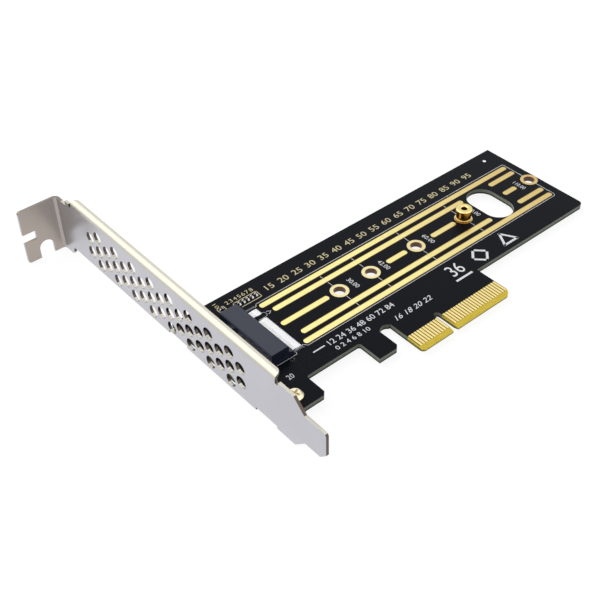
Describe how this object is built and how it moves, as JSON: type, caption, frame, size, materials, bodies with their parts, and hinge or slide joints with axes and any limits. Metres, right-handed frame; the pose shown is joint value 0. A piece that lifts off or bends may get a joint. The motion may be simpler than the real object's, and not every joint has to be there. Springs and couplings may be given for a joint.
{
  "type": "drive adapter card",
  "caption": "Black circuit board with a bent metal slot bracket that carries a slim solid-state drive: socket, brass post, gold-plated cooling strips and a gold finger edge.",
  "frame": {"origin": "on the board's component face, on the drive's centre line, where an inserted drive's edge stops", "axes": "+X along the drive towards its screw and away from the bracket, +Y away from the gold fingers, +Z out of the component face"},
  "size_m": [0.1391, 0.12, 0.0216],
  "materials": {
    "soldermask_board": "black lacquer over glass-fibre laminate, semi-gloss",
    "gold_plate": "thin gold plating over copper, satin",
    "nickel_steel": "nickel-plated sheet steel, satin",
    "zinc_steel": "yellow-passivated steel, satin",
    "black_nylon": "moulded, glass-filled, matte",
    "tinned_metal": "bright tin",
    "contact_alloy": "gold flash",
    "turned_brass": "turned, lightly tarnished",
    "chip_ceramic": "fired, matte",
    "resistor_ceramic": "glazed black top on white ceramic",
    "lamp_resin": "clear epoxy lens, pale"
  },
  "bodies": {
    "root": {"circuit_board": "soldermask_board", "heat_strips": "gold_plate", "hole_platings": "gold_plate", "edge_contacts_front": "gold_plate", "edge_contacts_back": "gold_plate", "io_bracket": "nickel_steel", "bracket_screws": "zinc_steel", "socket_housing": "black_nylon", "socket_upper_contacts": "contact_alloy", "socket_lower_contacts": "contact_alloy", "socket_hold_downs": "tinned_metal", "solder_pads": "tinned_metal", "drive_post": "turned_brass", "post_nut": "turned_brass", "capacitor_body": "chip_ceramic", "capacitor_ends": "tinned_metal", "resistor_body": "resistor_ceramic", "resistor_ends": "tinned_metal", "lamp_body": "lamp_resin", "lamp_ends": "tinned_metal"}
  },
  "joints": []
}
